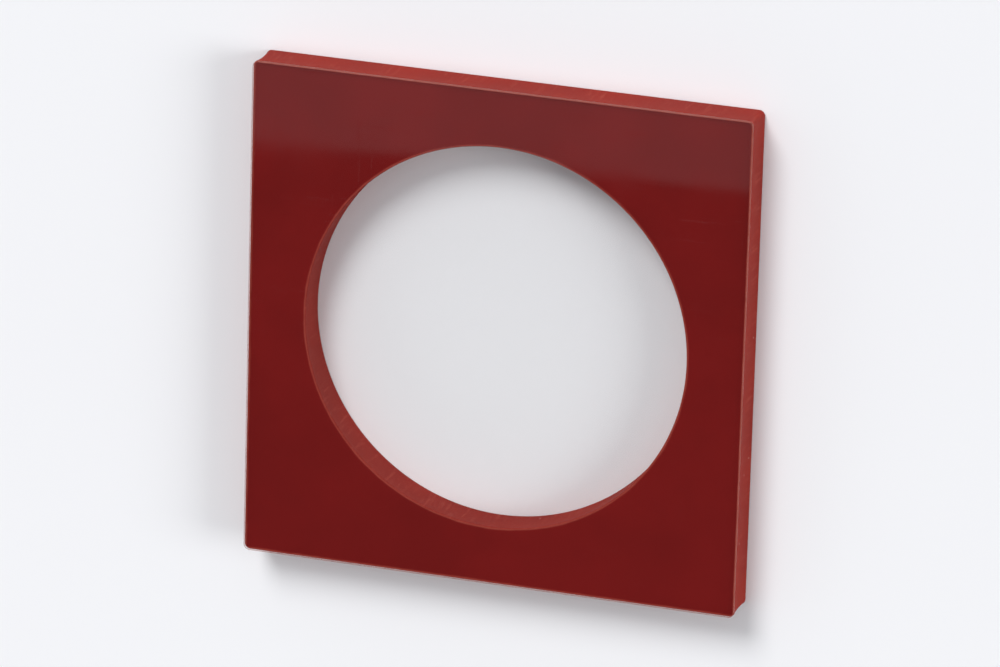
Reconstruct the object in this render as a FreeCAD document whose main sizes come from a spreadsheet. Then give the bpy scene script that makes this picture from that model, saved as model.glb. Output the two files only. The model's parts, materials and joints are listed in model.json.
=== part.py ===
import FreeCAD, Part
import os

import Sketcher
from FreeCAD import Vector

# Press-on imaging chamber: a square gasket of soft silicone with one round
# well through it, bonded on one side to a thin clear cover.
#
# Frame: millimetres, +Z up. The origin is the centre of the sealing face, the
# bare side of the gasket that is pressed on a slide. The gasket stands on
# z = 0, the cover lies on top of it, and the well is open towards -Z.

SHEET = "Sizes"

# alias, value in mm, what it measures
DIMENSIONS = [
    ("well_diameter", 20.0, "bore of the round well"),
    ("land_width", 3.0, "rubber left between the well and the outline"),
    ("corner_radius", 0.3, "rounding of the four upright corners"),
    ("gasket_thickness", 2.0, "height of the rubber, the depth of the well"),
    ("lip_radius", 0.1, "rounding of the rims of the sealing face"),
    ("cover_thickness", 0.2, "thickness of the clear cover"),
    ("cut_radius", 0.05, "rounding that the blade leaves on the cover"),
]

# The outline is shared: gasket and cover are cut in one stroke.
SIDE = f"{SHEET}.well_diameter + 2 * {SHEET}.land_width"

# A rim can be rounded by no more than its wall and its corner allow.
LIP = (
    f"min({SHEET}.lip_radius; {SHEET}.gasket_thickness / 4;"
    f" {SHEET}.corner_radius / 2; {SHEET}.land_width / 4)"
)
CUT = f"min({SHEET}.cut_radius; {SHEET}.cover_thickness / 3; {SHEET}.corner_radius / 2)"

# Points of a curve and the axes' crossing, as the sketcher counts them.
START, END, CENTRE = range(1, 4)
ORIGIN = (-1, START)

UP = Vector(0, 0, 1)
DOWN = Vector(0, 0, -1)
PARTS_FOLDER = "parts"


def add_sheet(doc):
    """The spreadsheet of driving dimensions, one row each."""
    sheet = doc.addObject("Spreadsheet::Sheet", SHEET)
    for row, (alias, value, meaning) in enumerate(DIMENSIONS, start=1):
        sheet.set(f"A{row}", meaning)
        sheet.set(f"B{row}", str(value))
        sheet.setAlias(f"B{row}", alias)
    doc.recompute()
    return sheet


def add_body(doc, label):
    body = doc.addObject("PartDesign::Body", label)
    body.Label = label
    return body


def add_sketch(body, name):
    """A sketch on the body's own XY plane."""
    planes = [f for f in body.Origin.OriginFeatures if f.Role == "XY_Plane"]
    sketch = body.newObject("Sketcher::SketchObject", name)
    sketch.AttachmentSupport = [(planes[0], "")]
    sketch.MapMode = "FlatFace"
    return sketch


def bind(sketch, name, formula, *constraint):
    """Adds a dimension to a sketch and ties it to the sheet."""
    index = sketch.addConstraint(Sketcher.Constraint(*constraint))
    sketch.renameConstraint(index, name)
    sketch.setExpression(f"Constraints.{name}", formula)


def draw_rounded_square(sketch, sheet):
    """The die-cut outline: four sides joined by four tangent corner arcs,
    centred on the sketch's origin."""
    radius = sheet.corner_radius
    half = sheet.well_diameter / 2 + sheet.land_width
    reach = half - radius  # where a side ends and its corner arc begins
    middle = reach + radius / 2**0.5  # half way round the corner arc
    sides = []
    corners = []
    # bottom, right, top and left, each followed by the arc at its far end
    for quarter in range(4):
        turn = FreeCAD.Rotation(UP, 90 * quarter)
        begin = turn.multVec(Vector(-reach, -half, 0))
        leave = turn.multVec(Vector(reach, -half, 0))
        bend = turn.multVec(Vector(middle, -middle, 0))
        arrive = turn.multVec(Vector(half, -reach, 0))
        sides.append(sketch.addGeometry(Part.LineSegment(begin, leave)))
        corners.append(sketch.addGeometry(Part.Arc(leave, bend, arrive)))

    rules = []
    for quarter, (side, corner) in enumerate(zip(sides, corners)):
        following = sides[(quarter + 1) % 4]
        rules.append(("Tangent", side, END, corner, START))
        rules.append(("Tangent", corner, END, following, START))
        rules.append(("Vertical" if quarter % 2 else "Horizontal", side))
    for corner in corners[1:]:
        rules.append(("Equal", corners[0], corner))
    bottom, right, top, left = sides
    rules.append(("Symmetric", bottom, START, top, START, *ORIGIN))
    for rule in rules:
        sketch.addConstraint(Sketcher.Constraint(*rule))

    bind(sketch, "width", SIDE, "DistanceX", left, START, right, START, 2 * half)
    bind(sketch, "length", SIDE, "DistanceY", bottom, START, top, START, 2 * half)
    bind(sketch, "corner", f"{SHEET}.corner_radius", "Radius", corners[0], radius)


def draw_well(sketch, sheet):
    """The well's circle, centred on the sketch's origin."""
    diameter = sheet.well_diameter
    circle = sketch.addGeometry(Part.Circle(Vector(0, 0, 0), UP, diameter / 2))
    sketch.addConstraint(Sketcher.Constraint("Coincident", circle, CENTRE, *ORIGIN))
    bind(sketch, "bore", f"{SHEET}.well_diameter", "Diameter", circle, diameter)


def add_pad(body, name, sketch, formula):
    pad = body.newObject("PartDesign::Pad", name)
    pad.Profile = sketch
    pad.setExpression("Length", formula)
    return pad


def outermost_face(shape, direction):
    """The name of the flat face that lies furthest along a direction."""
    flat = {}
    for number, face in enumerate(shape.Faces, start=1):
        if isinstance(face.Surface, Part.Plane):
            flat[f"Face{number}"] = face.CenterOfMass.dot(direction)
    return max(flat, key=flat.get)


def add_rounding(body, name, base, direction, formula):
    """Rounds every edge of the face of the base that looks along direction."""
    rounding = body.newObject("PartDesign::Fillet", name)
    rounding.Base = (base, [outermost_face(base.Shape, direction)])
    rounding.setExpression("Radius", formula)


def make_gasket(doc, sheet):
    """The silicone: a square slab with the well through it and softened rims
    round its sealing face. Its other face is bonded and keeps sharp rims."""
    body = add_body(doc, "gasket")
    outline = add_sketch(body, "GasketOutline")
    draw_rounded_square(outline, sheet)
    add_pad(body, "GasketSlab", outline, f"{SHEET}.gasket_thickness")

    circle = add_sketch(body, "WellCircle")
    draw_well(circle, sheet)
    well = body.newObject("PartDesign::Pocket", "Well")
    well.Profile = circle
    well.Type = "ThroughAll"
    well.Reversed = True  # the slab lies above the sketch
    doc.recompute()
    add_rounding(body, "SealingLips", well, DOWN, LIP)
    return body


def make_cover(doc, sheet):
    """The clear cover: a thin sheet of the gasket's outline, closed over the
    well, with the slight roll-over of its cut on the outer side."""
    body = add_body(doc, "cover")
    outline = add_sketch(body, "CoverOutline")
    draw_rounded_square(outline, sheet)
    plate = add_pad(body, "CoverPlate", outline, f"{SHEET}.cover_thickness")
    doc.recompute()
    add_rounding(body, "CutRollOver", plate, UP, CUT)
    body.setExpression("Placement.Base.z", f"{SHEET}.gasket_thickness")
    return body


def check_document(doc, bodies):
    """Stops before anything is written if an object failed."""
    for item in doc.Objects:
        if "Invalid" in item.State or "Error" in item.State:
            raise RuntimeError(f"{item.Label} failed: {item.State}")
    for body in bodies:
        shape = body.Shape
        if shape.isNull() or not shape.isValid() or len(shape.Solids) != 1:
            raise RuntimeError(f"{body.Label} is not one valid solid")


def main():
    doc = FreeCAD.newDocument("ImagingChamber")
    sheet = add_sheet(doc)
    bodies = [make_gasket(doc, sheet), make_cover(doc, sheet)]
    doc.recompute()
    check_document(doc, bodies)

    os.makedirs(PARTS_FOLDER, exist_ok=True)
    for body in bodies:
        body.Shape.exportStep(f"{PARTS_FOLDER}/{body.Label}.step")
        box = body.Shape.optimalBoundingBox(False)
        print(
            f"{body.Label}: {box.XLength:.3f} x {box.YLength:.3f} x {box.ZLength:.3f} mm,"
            f" z from {box.ZMin:.3f}, {body.Shape.Volume:.1f} mm3"
        )


main()
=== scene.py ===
import json
import math

import bmesh
import bpy
from mathutils import Matrix, Quaternion, Vector, noise


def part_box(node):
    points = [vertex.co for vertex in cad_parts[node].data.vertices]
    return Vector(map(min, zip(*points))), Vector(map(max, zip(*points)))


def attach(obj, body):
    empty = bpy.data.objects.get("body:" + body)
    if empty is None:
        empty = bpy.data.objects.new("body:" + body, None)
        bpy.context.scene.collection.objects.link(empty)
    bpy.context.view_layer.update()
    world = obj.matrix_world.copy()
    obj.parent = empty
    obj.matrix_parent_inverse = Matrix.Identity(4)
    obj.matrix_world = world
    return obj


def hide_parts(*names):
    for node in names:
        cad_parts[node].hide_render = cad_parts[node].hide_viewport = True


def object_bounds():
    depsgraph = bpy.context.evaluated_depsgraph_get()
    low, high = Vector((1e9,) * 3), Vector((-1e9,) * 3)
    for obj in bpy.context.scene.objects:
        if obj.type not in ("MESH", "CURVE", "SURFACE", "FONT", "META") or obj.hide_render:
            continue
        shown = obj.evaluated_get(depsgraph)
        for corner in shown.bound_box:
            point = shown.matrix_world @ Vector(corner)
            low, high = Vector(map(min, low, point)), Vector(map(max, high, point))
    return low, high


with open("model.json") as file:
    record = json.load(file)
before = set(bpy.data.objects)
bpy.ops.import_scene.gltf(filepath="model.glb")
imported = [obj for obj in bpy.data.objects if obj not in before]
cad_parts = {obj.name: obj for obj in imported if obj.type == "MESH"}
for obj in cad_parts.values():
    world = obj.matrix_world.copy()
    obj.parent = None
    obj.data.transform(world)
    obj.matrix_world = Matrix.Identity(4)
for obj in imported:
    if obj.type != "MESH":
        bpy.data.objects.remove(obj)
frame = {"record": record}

# An imaging chamber lying as it comes to rest: a square silicone gasket with a
# round well, and a clear cover bonded on top. Everything is in metres.

MM = 0.001
CAD_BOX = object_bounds()

# ---------------------------------------------------------------- sizes read from the frame

GASKET_LOW, GASKET_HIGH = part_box("gasket")
COVER_LOW, COVER_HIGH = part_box("cover")
WELL = next(m for m in frame["record"]["mounts"] if m["name"] == "well")
WELL_RADIUS = WELL["dims"]["r_mm"] * MM
HALF_SIDE = GASKET_HIGH.x

# ---------------------------------------------------------------- small forms of the real surfaces

CORNER_RADIUS = 0.3 * MM  # the four upright corners
TIGHTEST_CORNER = 0.02 * MM  # the least of it that is left where an outline is drawn in
LIP_RADIUS = 0.1 * MM  # rims of the sealing face
BOND_RIM = 0.05 * MM  # rims of the bonded face, where the blade went in
BOND_GAP = 0.004 * MM  # keeps the two bonded faces apart for the renderer

WALL_CUP = 0.045 * MM  # how far a die-cut rubber wall draws in at its middle
CUP_LEAST = 0.7  # along a wall that depth varies from this share of it
CUP_SPREAD = 0.6  # to this much more
WALL_WAVE = 0.02 * MM  # a second unevenness of the cut, up and down the wall too
WAVE_SIZE = 3.5 * MM  # how far apart the swells of both are
WAVE_RISE = 0.4  # how fast the second changes up the wall, beside along it
WAVE_FADE = 4.0  # how steeply it grows from nothing at the rims
OUTSIDE_SEED = 1.0  # each wall is uneven in its own way
WELL_SEED = 3.0
SECOND_SEED = 7.0  # added to the wall's own

FILM_ROLL = 0.05 * MM  # roll-over of the cut film's outer rim
FILM_BREAK = 0.015 * MM  # bevel of its lower rim
FILM_SAG = 0.014 * MM  # how far the free film dips over the well
HOLD = 0.01 * MM  # width of the last ring that keeps the film flat up to its rim

# ---------------------------------------------------------------- how finely they are meshed

SIDE_POINTS = 56  # points of the outline along one straight side
CORNER_POINTS = 10  # and round one corner
ROUND_STEPS = 5  # steps of a small rounding
WALL_STEPS = 10  # steps up a cut wall
LAND_STEPS = 14  # steps from the well to the outline
WINDOW_STEPS = 18  # rings of the film over the well

BONDED_UP = 0.9  # least upward share of a normal on the bonded face
FILM_FLAT = 0.99  # least upright share of a normal on the film's broad faces


# ---------------------------------------------------------------- outlines and loops


def outline(inset):
    """Points round the rounded square, drawn in by inset, counterclockwise."""
    radius = max(CORNER_RADIUS - inset, TIGHTEST_CORNER)
    reach = HALF_SIDE - inset - radius  # where a side ends and its corner begins
    side = [(reach + radius, reach * (2 * i / SIDE_POINTS - 1)) for i in range(SIDE_POINTS)]
    corner = []
    for i in range(CORNER_POINTS):
        angle = math.radians(90) * i / CORNER_POINTS
        corner.append((reach + radius * math.cos(angle), reach + radius * math.sin(angle)))
    points = []
    for quarter in range(4):
        turn = math.radians(90 * quarter)
        c, s = math.cos(turn), math.sin(turn)
        points += [(x * c - y * s, x * s + y * c) for x, y in side + corner]
    return points


BEARINGS = [math.atan2(y, x) for x, y in outline(0.0)]


def circle(radius):
    """Points of a circle, each on the bearing of its outline point."""
    return [(radius * math.cos(a), radius * math.sin(a)) for a in BEARINGS]


def well_ring(inset):
    """The well's circle, moved into the rubber by inset."""
    return circle(WELL_RADIUS + inset)


def between(start, end, share):
    """Points that lie a share of the way from one outline to another."""
    points = []
    for (x, y), (end_x, end_y) in zip(start, end):
        points.append((x + (end_x - x) * share, y + (end_y - y) * share))
    return points


def level(points, z):
    """A flat loop at one height."""
    return [(x, y, z) for x, y in points]


def quarter_turn():
    """The cosine and sine at each step of a small rounding, from 0 to 90 degrees."""
    angles = [math.radians(90) * i / ROUND_STEPS for i in range(ROUND_STEPS + 1)]
    return [(math.cos(a), math.sin(a)) for a in angles]


def rounded_rim(ring, radius, z, steps):
    """Loops of a small rounding. A step says how far the ring is drawn in and
    how high over z it lies, both as shares of the radius."""
    return [level(ring(radius * inset), z + radius * height) for inset, height in steps]


def skin(name, loops, closed):
    """A piece from loops of equal length, each a list of (x, y, z). A closed
    skin joins the last loop to the first; an open one is shut at both ends by
    a fan to its middle."""
    bm = bmesh.new()
    rows = [[bm.verts.new(p) for p in loop] for loop in loops]
    pairs = list(zip(rows, rows[1:]))
    if closed:
        pairs.append((rows[-1], rows[0]))
    for low, high in pairs:
        for i in range(len(low)):
            j = (i + 1) % len(low)
            bm.faces.new((low[i], low[j], high[j], high[i]))
    if not closed:
        for row in (rows[0], rows[-1]):
            middle = sum((v.co for v in row), Vector()) / len(row)
            hub = bm.verts.new(middle)
            for i in range(len(row)):
                bm.faces.new((row[i], row[(i + 1) % len(row)], hub))
    bmesh.ops.recalc_face_normals(bm, faces=bm.faces)
    mesh = bpy.data.meshes.new(name)
    bm.to_mesh(mesh)
    bm.free()
    mesh.shade_smooth()
    piece = bpy.data.objects.new(name, mesh)
    bpy.context.scene.collection.objects.link(piece)
    # keeps broad faces flat in shading beside their small roundings
    normals = piece.modifiers.new("FlatFaces", "WEIGHTED_NORMAL")
    normals.weight = 100
    return piece


# ---------------------------------------------------------------- the gasket


def wave(x, y, z, seed):
    """A slow unevenness from 0 to 1 that is the same in every run."""
    place = Vector((x / WAVE_SIZE, y / WAVE_SIZE, z / WAVE_SIZE * WAVE_RISE + seed))
    return 0.5 + 0.5 * noise.noise(place)


def wall_loop(points, z, outward, share, seed):
    """A loop of a cut wall at a share of its height, drawn into the rubber by
    the cut's hollow and unevenness, which end at the wall's rims. outward is 1
    on the outside and -1 in the well."""
    hollow = 1.0 - (2.0 * share - 1.0) ** 2
    fade = min(1.0, WAVE_FADE * hollow)
    loop = []
    for x, y in points:
        depth = WALL_CUP * hollow * (CUP_LEAST + CUP_SPREAD * wave(x, y, 0.0, seed))
        depth += WALL_WAVE * wave(x, y, z, seed + SECOND_SEED) * fade
        away = outward * depth / math.hypot(x, y)
        loop.append((x * (1.0 - away), y * (1.0 - away), z))
    return loop


def gasket_loops(low, high):
    """Loops round the gasket's section: out over the bonded face, down the
    outside, back under the sealing face and up the well."""
    top, bottom = high - BOND_RIM, low + LIP_RADIUS
    turn = quarter_turn()
    wall_shares = [i / WALL_STEPS for i in range(1, WALL_STEPS)]

    loops = []
    for i in range(LAND_STEPS):
        points = between(well_ring(BOND_RIM), outline(BOND_RIM), i / LAND_STEPS)
        loops.append(level(points, high))
    loops += rounded_rim(outline, BOND_RIM, top, [(1 - s, c) for c, s in turn])
    for share in wall_shares:
        z = top + (bottom - top) * share
        loops.append(wall_loop(outline(0.0), z, 1, share, OUTSIDE_SEED))
    loops += rounded_rim(outline, LIP_RADIUS, bottom, [(1 - c, -s) for c, s in turn])
    for i in range(1, LAND_STEPS):
        points = between(outline(LIP_RADIUS), well_ring(LIP_RADIUS), i / LAND_STEPS)
        loops.append(level(points, low))
    loops += rounded_rim(well_ring, LIP_RADIUS, bottom, [(1 - s, -c) for c, s in turn])
    for share in wall_shares:
        z = bottom + (top - bottom) * share
        loops.append(wall_loop(well_ring(0.0), z, -1, share, WELL_SEED))
    loops += rounded_rim(well_ring, BOND_RIM, top, [(1 - c, s) for c, s in turn])
    return loops[:-1]  # the last is the first again


def make_gasket():
    low, high = GASKET_LOW.z, GASKET_HIGH.z - BOND_GAP
    piece = skin("gasket_rubber", gasket_loops(low, high), closed=True)
    piece.data.materials.append(silicone_material())
    piece.data.materials.append(bonded_material())
    for face in piece.data.polygons:
        bonded = face.normal.z > BONDED_UP and face.center.z > high - BOND_RIM
        face.material_index = 1 if bonded else 0
    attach(piece, "root")
    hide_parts("gasket")


# ---------------------------------------------------------------- the cover


def sagging(points, z):
    """A loop of the film, which dips where nothing backs it."""
    loop = []
    for x, y in points:
        share = min(math.hypot(x, y) / WELL_RADIUS, 1.0)
        loop.append((x, y, z - FILM_SAG * (1.0 - share**2) ** 2))
    return loop


def film_rings(inset):
    """Rings of one broad face of the film, from the middle to inset from the
    outline."""
    rings = [circle(WELL_RADIUS * (i + 1) / WINDOW_STEPS) for i in range(WINDOW_STEPS)]
    well_rim = rings[-1]
    for i in range(1, LAND_STEPS):
        rings.append(between(well_rim, outline(inset), i / LAND_STEPS))
    return rings + [outline(inset + HOLD), outline(inset)]


def cover_loops(low, high):
    """Loops over the film: out over its upper face, down its cut edge and back
    under its lower face."""
    loops = [sagging(ring, high) for ring in film_rings(FILM_ROLL)]
    for c, s in quarter_turn()[1:]:
        loops.append(sagging(outline(FILM_ROLL * (1 - s)), high - FILM_ROLL * (1 - c)))
    loops.append(sagging(outline(0.0), (low + high - FILM_ROLL) / 2))
    loops.append(sagging(outline(0.0), low + FILM_BREAK))
    loops += [sagging(ring, low) for ring in reversed(film_rings(FILM_BREAK))]
    return loops


def make_cover():
    piece = skin("cover_film", cover_loops(COVER_LOW.z, COVER_HIGH.z), closed=False)
    piece.data.materials.append(film_material())
    piece.data.materials.append(film_edge_material())
    for face in piece.data.polygons:
        face.material_index = 1 if abs(face.normal.z) < FILM_FLAT else 0
    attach(piece, "root")
    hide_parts("cover")


# ---------------------------------------------------------------- materials

# the colour sockets of a Mix node
MIX_A = 6
MIX_B = 7
MIX_RESULT = 2

SPECK_CELL = 8.0  # width of a cell with one speck, in specks
SPECK_CORE = 0.03  # share of the cell from the speck's middle to where it fades
SPECK_RIM = 0.09  # and to where it ends


class Tree:
    """The nodes of a material or world, with short ways to add and join them."""

    def __init__(self, owner, output="ShaderNodeOutputMaterial"):
        self.owner = owner
        owner.use_nodes = True
        self.nodes = owner.node_tree.nodes
        self.links = owner.node_tree.links
        self.nodes.clear()
        self.output = self.nodes.new(output)

    def add(self, kind, sockets=None, **settings):
        node = self.nodes.new(kind)
        for name, value in settings.items():
            setattr(node, name, value)
        for name, value in (sockets or {}).items():
            self.put(node.inputs[name], value)
        return node

    def put(self, socket, value):
        """Links a socket to another one, or sets it to a plain value."""
        if isinstance(value, bpy.types.NodeSocket):
            self.links.new(value, socket)
        else:
            socket.default_value = value

    def calc(self, operation, a, b=0.0, c=0.0):
        node = self.add("ShaderNodeMath", operation=operation)
        for socket, value in zip(node.inputs, (a, b, c)):
            self.put(socket, value)
        return node.outputs[0]

    def ramp(self, value, low, high, start=0.0, end=1.0):
        """Maps low..high smoothly to start..end."""
        node = self.add(
            "ShaderNodeMapRange",
            {"Value": value, "From Min": low, "From Max": high, "To Min": start, "To Max": end},
            interpolation_type="SMOOTHSTEP",
        )
        return node.outputs["Result"]

    def place(self, stretch=(1.0, 1.0, 1.0)):
        """The piece's own coordinates, in metres, scaled along each axis."""
        coords = self.add("ShaderNodeTexCoord").outputs["Object"]
        return self.add("ShaderNodeMapping", {"Vector": coords, "Scale": stretch}).outputs[0]

    def noise(self, size, stretch=(1.0, 1.0, 1.0), detail=3.0, roughness=0.5):
        """Noise whose blotches are about size across, and longer along an axis
        whose stretch is under 1."""
        node = self.add(
            "ShaderNodeTexNoise",
            {
                "Vector": self.place(stretch),
                "Scale": 1.0 / size,
                "Detail": detail,
                "Roughness": roughness,
            },
        )
        return node.outputs["Fac"]

    def specks(self, size, share):
        """1 on sparse round specks about size across, 0 elsewhere. share is
        the share of cells that have one."""
        cells = self.add(
            "ShaderNodeTexVoronoi",
            {"Vector": self.place(), "Scale": 1.0 / (size * SPECK_CELL), "Randomness": 1.0},
            feature="F1",
        )
        draw = self.add("ShaderNodeSeparateColor", {"Color": cells.outputs["Color"]}).outputs[0]
        chosen = self.calc("LESS_THAN", draw, share)
        near = self.ramp(cells.outputs["Distance"], SPECK_CORE, SPECK_RIM, 1.0, 0.0)
        return self.calc("MULTIPLY", near, chosen)

    def mix(self, share, a, b):
        """A colour from a, at a share of 0, to b, at 1."""
        node = self.add("ShaderNodeMix", data_type="RGBA")
        self.put(node.inputs["Factor"], share)
        self.put(node.inputs[MIX_A], a)
        self.put(node.inputs[MIX_B], b)
        return node.outputs[MIX_RESULT]

    def bump(self, height, distance, strength):
        sockets = {"Height": height, "Distance": distance, "Strength": strength}
        return self.add("ShaderNodeBump", sockets).outputs[0]

    def finish(self, shader):
        self.links.new(shader, self.output.inputs["Surface"])
        return self.owner


def new_material(name):
    return Tree(bpy.data.materials.new(name))


def rgb(red, green, blue):
    """A colour given as it looks on screen, from 0 to 255."""

    def linear(value):
        v = value / 255.0
        return v / 12.92 if v <= 0.04045 else ((v + 0.055) / 1.055) ** 2.4

    return (linear(red), linear(green), linear(blue), 1.0)


BARE = rgb(142, 46, 38)  # the rubber in air
BARE_DEEP = rgb(133, 41, 34)
BLOOM = rgb(166, 77, 65)  # its paler scuffs
DUST = rgb(226, 196, 188)
WET_AND_SHADE = rgb(122, 20, 19)  # the rubber under the film: wetted deep red, darkened further as painted shade
WET_DEEP_AND_SHADE = rgb(115, 18, 17)
FROST_AND_RED_LIGHT = rgb(162, 82, 70)  # the film's cut edge: frosted plastic, tinted pink as painted light from the red rubber under it
FROST_PALE_AND_RED_LIGHT = rgb(184, 110, 98)
PAPER = rgb(242, 242, 245)  # the floor
PAPER_PALE = rgb(245, 246, 248)

DRY_RIM = 0.05 * MM  # width beside the cut edges where the film isn't bonded
WET_FROM = 0.15 * MM  # how far from them it is bonded all over
RAGGED = 0.1 * MM  # how much the line between the two wanders

RUBBER_IOR = 1.41
WETTED_IOR = 1.1  # under the film the rubber has hardly any gloss of its own
FILM_IOR = 1.58
EDGE_IOR = 1.5


def silicone_material():
    """Bare silicone: satin and opaque, with streaks that the blade draws down
    the walls, a fine grain, a paler bloom in both and a few specks of dust."""
    t = new_material("silicone_bare")
    clouds = t.noise(size=3.5 * MM)
    streaks = t.noise(size=0.22 * MM, stretch=(1.0, 1.0, 0.12), detail=5.0, roughness=0.6)
    grain = t.noise(size=0.07 * MM, detail=2.0)
    dust = t.specks(size=0.09 * MM, share=0.06)

    colour = t.mix(t.ramp(clouds, 0.35, 0.7), BARE_DEEP, BARE)
    colour = t.mix(t.ramp(streaks, 0.52, 0.78, end=0.5), colour, BLOOM)
    colour = t.mix(t.ramp(grain, 0.45, 0.75, end=0.18), colour, BLOOM)
    colour = t.mix(t.calc("MULTIPLY", dust, 0.45), colour, DUST)
    height = t.calc("ADD", streaks, t.calc("MULTIPLY", grain, 0.35))
    shader = t.add(
        "ShaderNodeBsdfPrincipled",
        {
            "Base Color": colour,
            "Roughness": t.ramp(clouds, 0.3, 0.7, 0.62, 0.76),
            "IOR": RUBBER_IOR,
            "Specular IOR Level": 0.08,
            "Subsurface Weight": 0.12,
            "Subsurface Radius": (1.0, 0.25, 0.15),
            "Subsurface Scale": 0.4 * MM,
            "Normal": t.bump(height, distance=0.03 * MM, strength=0.6),
        },
    )
    return t.finish(shader.outputs[0])


def bonded_material():
    """Silicone under the cover: wetted by the film it is deep red, darkened further by painted
    shade, with a few pinholes, and it turns paler where the bond stops just short of the cut
    edges."""
    t = new_material("silicone_bonded")
    place = t.add("ShaderNodeTexCoord").outputs["Object"]
    parts = t.add("ShaderNodeSeparateXYZ", {"Vector": place})
    x = t.calc("ABSOLUTE", parts.outputs[0])
    y = t.calc("ABSOLUTE", parts.outputs[1])
    to_side = t.calc("SUBTRACT", HALF_SIDE, t.calc("MAXIMUM", x, y))
    flat = t.add("ShaderNodeCombineXYZ", {"X": parts.outputs[0], "Y": parts.outputs[1]})
    far = t.add("ShaderNodeVectorMath", {0: flat.outputs[0]}, operation="LENGTH")
    to_well = t.calc("SUBTRACT", far.outputs["Value"], WELL_RADIUS)
    to_edge = t.calc("MINIMUM", to_side, to_well)
    ragged = t.calc("MULTIPLY_ADD", t.noise(size=0.8 * MM, detail=4.0), RAGGED, -RAGGED / 2)
    bond = t.ramp(t.calc("ADD", to_edge, ragged), DRY_RIM, WET_FROM)

    clouds = t.noise(size=5.0 * MM)
    # the wetted rubber's deep red, partly painted shade that darkens the face against the walls
    wet_and_shade = t.mix(t.ramp(clouds, 0.35, 0.68), WET_DEEP_AND_SHADE, WET_AND_SHADE)
    dry = t.mix(t.noise(size=0.2 * MM), BARE, BLOOM)
    pinholes = t.specks(size=0.1 * MM, share=0.07)
    colour = t.mix(bond, dry, wet_and_shade)
    colour = t.mix(t.calc("MULTIPLY", pinholes, 0.45), colour, BARE)
    shader = t.add(
        "ShaderNodeBsdfPrincipled",
        {
            "Base Color": colour,
            "Roughness": t.ramp(bond, 0.0, 1.0, 0.5, 0.7),
            "IOR": WETTED_IOR,
        },
    )
    return t.finish(shader.outputs[0])


def film_material():
    """Clear film: from outside it mirrors by Fresnel and is else see-through,
    with faint smudges, hairline scratches and a slight bow in its gloss."""
    t = new_material("film_clear")
    smudges = t.noise(size=6.0 * MM, stretch=(1.0, 0.6, 1.0), detail=5.0, roughness=0.6)
    hairs_x = t.noise(size=0.12 * MM, stretch=(0.03, 1.0, 1.0), detail=2.0)
    hairs_y = t.noise(size=0.14 * MM, stretch=(1.0, 0.025, 1.0), detail=2.0)
    scratches = t.calc("MAXIMUM", t.ramp(hairs_x, 0.66, 0.74), t.ramp(hairs_y, 0.68, 0.76))
    smeared = t.ramp(smudges, 0.45, 0.72, 0.012, 0.03)
    rough = t.calc("ADD", smeared, t.calc("MULTIPLY", scratches, 0.12))
    bow = t.noise(size=11.0 * MM, detail=1.0)
    normal = t.bump(bow, distance=0.006 * MM, strength=0.5)

    gloss = t.add("ShaderNodeBsdfGlossy", {"Roughness": rough, "Normal": normal})
    clear = t.add("ShaderNodeBsdfTransparent", {"Color": (0.985, 0.985, 0.985, 1.0)})
    fresnel = t.add("ShaderNodeFresnel", {"IOR": FILM_IOR}).outputs[0]
    outside = t.calc("SUBTRACT", 1.0, t.add("ShaderNodeNewGeometry").outputs["Backfacing"])
    share = t.calc("MULTIPLY", fresnel, outside)
    film = t.add("ShaderNodeMixShader", {0: share, 1: clear.outputs[0], 2: gloss.outputs[0]})
    return t.finish(film.outputs[0])


def film_edge_material():
    """The film's cut edge: mostly clear, faintly frosted by the blade; its pink is painted light
    from the red rubber.
    """
    t = new_material("film_edge")
    frost = t.noise(size=0.06 * MM, stretch=(1.0, 1.0, 0.1))
    body = t.add(
        "ShaderNodeBsdfPrincipled",
        {
            # the frost's colours are tinted pink as painted light from the rubber under the edge
            "Base Color": t.mix(frost, FROST_AND_RED_LIGHT, FROST_PALE_AND_RED_LIGHT),
            "Roughness": t.ramp(frost, 0.3, 0.7, 0.3, 0.4),
            "IOR": EDGE_IOR,
        },
    )
    clear = t.add("ShaderNodeBsdfTransparent", {"Color": (0.97, 0.96, 0.96, 1.0)})
    share = t.ramp(frost, 0.3, 0.7, 0.3, 0.42)
    edge = t.add("ShaderNodeMixShader", {0: share, 1: clear.outputs[0], 2: body.outputs[0]})
    return t.finish(edge.outputs[0])


# ---------------------------------------------------------------- the stage

FLOOR_REACH = 6.0  # from the middle to each side
FLOOR_DROP = 0.01 * MM  # keeps the floor clear of the rubber


def make_floor():
    near, far, z = -FLOOR_REACH, FLOOR_REACH, -FLOOR_DROP
    corners = [(near, near, z), (far, near, z), (far, far, z), (near, far, z)]
    mesh = bpy.data.meshes.new("floor")
    mesh.from_pydata(corners, [], [(0, 1, 2, 3)])
    floor = bpy.data.objects.new("floor", mesh)
    bpy.context.scene.collection.objects.link(floor)
    t = new_material("floor_paper")
    colour = t.mix(t.noise(size=60.0 * MM, detail=4.0), PAPER, PAPER_PALE)
    shader = t.add("ShaderNodeBsdfDiffuse", {"Color": colour})
    mesh.materials.append(t.finish(shader.outputs[0]))


def direction(azimuth, elevation):
    """The unit vector towards a bearing, counted in degrees from +X."""
    a, e = math.radians(azimuth), math.radians(elevation)
    return Vector((math.cos(e) * math.cos(a), math.cos(e) * math.sin(a), math.sin(e)))


def add_sun(name, towards, strength, width):
    """A far softbox, width degrees across, that lights the whole floor evenly."""
    data = bpy.data.lights.new(name, "SUN")
    data.energy = strength
    data.angle = math.radians(width)
    lamp = bpy.data.objects.new(name, data)
    lamp.location = towards
    lamp.rotation_mode = "QUATERNION"
    lamp.rotation_quaternion = towards.to_track_quat("Z", "Y")
    bpy.context.scene.collection.objects.link(lamp)


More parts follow.
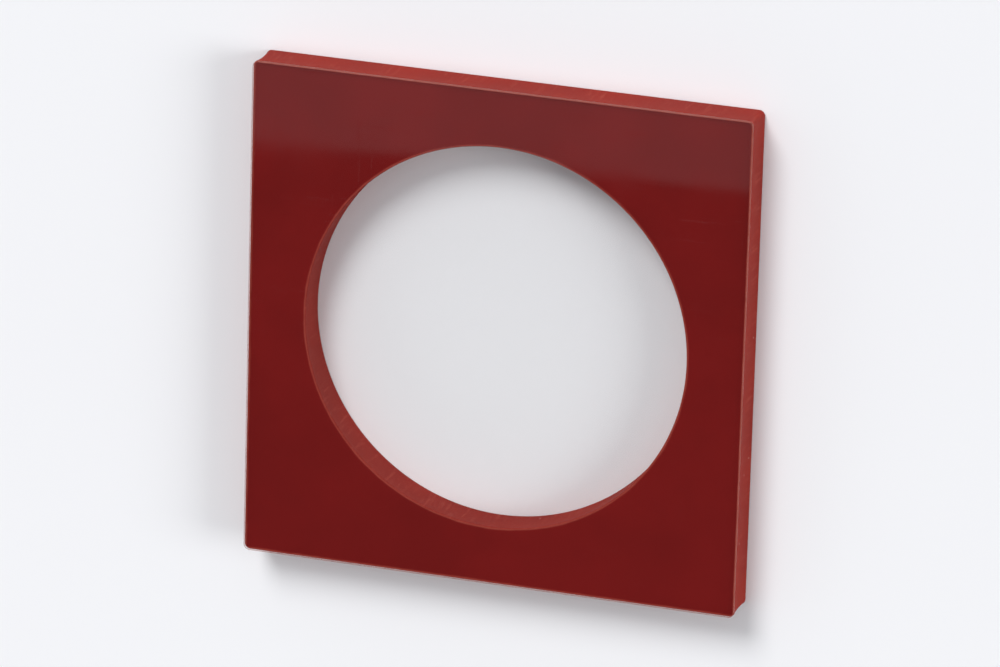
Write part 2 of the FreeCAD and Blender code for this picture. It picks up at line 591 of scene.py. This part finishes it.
# What the cover mirrors: a bright wall round the horizon, which ends along a
# sloping line, and over it a room that is brighter on the key's side.
WALL_COLOUR = (0.905, 0.913, 0.939, 1.0)  # as the floor renders, so no horizon shows
LIT_SIDE = 0.50  # how bright each side of the room is, beside the wall's 1
DIM_SIDE = 0.10
WALL_TOP = (0.124, 0.0, 1.0)  # the wall lies where this vector's product with a
WALL_HEIGHT = 0.343  # direction is under this height
SIDES = (-0.026, 1.0, 0.329)  # and the lit side where this one's is over zero
EDGE = 0.0008  # half the width over which one turns into the other


def make_world():
    """A plain room in three even tones."""
    t = Tree(bpy.data.worlds.new("room"), "ShaderNodeOutputWorld")
    bpy.context.scene.world = t.owner
    way = t.add("ShaderNodeTexCoord").outputs["Generated"]

    def beyond(vector, height):
        """1 where the vector's product with the direction is over the height."""
        along = t.add("ShaderNodeVectorMath", {0: way, 1: vector}, operation="DOT_PRODUCT")
        return t.ramp(along.outputs["Value"], height - EDGE, height + EDGE)

    room = t.calc("MULTIPLY_ADD", beyond(SIDES, 0.0), LIT_SIDE - DIM_SIDE, DIM_SIDE)
    over_wall = t.calc("SUBTRACT", room, 1.0)
    strength = t.calc("MULTIPLY_ADD", beyond(WALL_TOP, WALL_HEIGHT), over_wall, 1.0)
    light = t.add("ShaderNodeBackground", {"Color": WALL_COLOUR, "Strength": strength})
    t.finish(light.outputs[0])


# The camera sees the cover from a little above and to the right of its normal.
CAMERA_TILT = math.radians(25.6)  # between the line of sight and the face's normal
CAMERA_LEAN = math.radians(41.0)  # from the far side's bearing (+Y) towards +X
CAMERA_ROLL = math.radians(1.7)  # leans the chamber to the right in the picture
CAMERA_DISTANCE = 0.4  # from the middle of the part
CLIP_START = 0.01
SENSOR_WIDTH = 36.0  # in millimetres, as the lens is
PICTURE_SHARE = 0.52  # of the picture's width that one side would take face on


def make_camera():
    data = bpy.data.cameras.new("camera")
    data.sensor_width = SENSOR_WIDTH
    data.lens = data.sensor_width * PICTURE_SHARE * CAMERA_DISTANCE / (2 * HALF_SIDE)
    data.clip_start = CLIP_START
    camera = bpy.data.objects.new("camera", data)
    away = Vector(
        (
            math.sin(CAMERA_TILT) * math.sin(CAMERA_LEAN),
            math.sin(CAMERA_TILT) * math.cos(CAMERA_LEAN),
            math.cos(CAMERA_TILT),
        )
    )
    low, high = CAD_BOX
    camera.location = (low + high) / 2 + away * CAMERA_DISTANCE
    right = Vector((0.0, 1.0, 0.0)).cross(away).normalized()
    right.rotate(Quaternion(away, CAMERA_ROLL))
    axes = [right, away.cross(right), away]
    turn = Matrix([[axis[row] for axis in axes] for row in range(3)])
    camera.rotation_mode = "QUATERNION"
    camera.rotation_quaternion = turn.to_quaternion()
    bpy.context.scene.collection.objects.link(camera)
    bpy.context.scene.camera = camera


bpy.context.scene.view_settings.view_transform = "Standard"
make_gasket()
make_cover()
make_floor()
make_world()
add_sun("key", direction(azimuth=108.0, elevation=41.0), strength=1.96, width=27.0)
add_sun("fill", direction(azimuth=6.0, elevation=27.0), strength=1.33, width=26.0)
make_camera()
